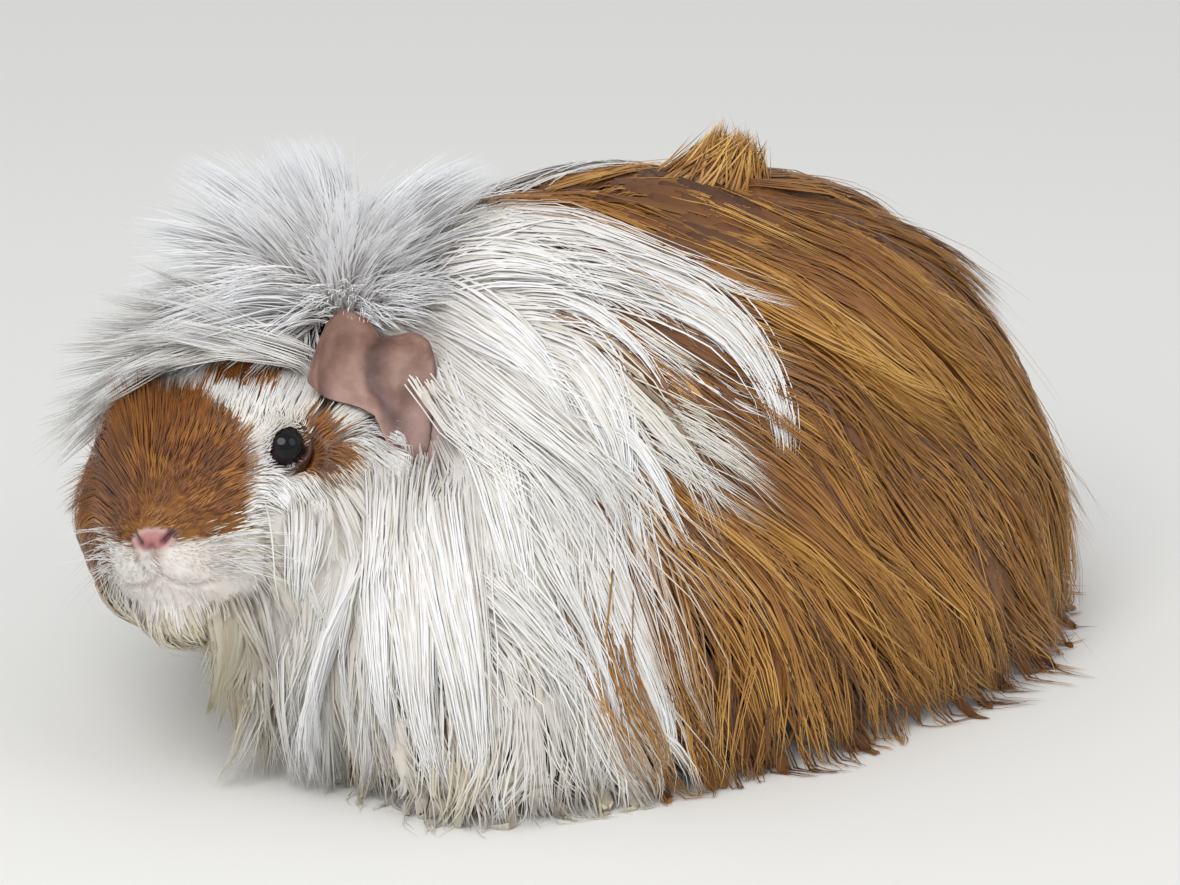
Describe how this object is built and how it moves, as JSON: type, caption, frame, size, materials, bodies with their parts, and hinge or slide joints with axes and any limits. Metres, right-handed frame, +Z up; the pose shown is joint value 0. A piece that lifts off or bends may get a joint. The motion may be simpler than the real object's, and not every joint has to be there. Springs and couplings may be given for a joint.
{
  "type": "guinea pig",
  "caption": "Life-size still model of a long-haired guinea pig, crouching with its head turned to its left and a standing crest behind the ears.",
  "frame": {"origin": "on the floor, under the middle of the model's box", "axes": "the head is towards -X and the rump towards +X, the animal's left side is towards -Y, and +Z is up"},
  "size_m": [0.2686, 0.1808, 0.139],
  "materials": {
    "white_hair": "long, soft, slightly glossy hair",
    "ginger_hair": "long, glossy hair in loose locks",
    "mask_hair": "short, dense, matt hair",
    "bare_skin": "thin, bare, slightly moist skin",
    "eye": "wet and glossy",
    "claw": "smooth horn"
  },
  "bodies": {
    "root": {"back_tuft": "ginger_hair", "claw_foreleg_left_1": "claw", "claw_foreleg_left_2": "claw", "claw_foreleg_left_3": "claw", "claw_foreleg_left_4": "claw", "claw_foreleg_right_1": "claw", "claw_foreleg_right_2": "claw", "claw_foreleg_right_3": "claw", "claw_foreleg_right_4": "claw", "claw_hindleg_left_1": "claw", "claw_hindleg_left_2": "claw", "claw_hindleg_left_3": "claw", "claw_hindleg_right_1": "claw", "claw_hindleg_right_2": "claw", "claw_hindleg_right_3": "claw", "crest": "white_hair", "ear_left": "bare_skin", "ear_right": "bare_skin", "eye_left": "eye", "eye_right": "eye", "foreleg_left": "bare_skin", "foreleg_right": "bare_skin", "head": "mask_hair", "hindleg_left": "bare_skin", "hindleg_right": "bare_skin", "hindquarters": "ginger_hair", "lower_jaw": "white_hair", "neck": "white_hair", "nose": "bare_skin", "shoulders": "white_hair", "trunk": "ginger_hair"}
  },
  "joints": []
}
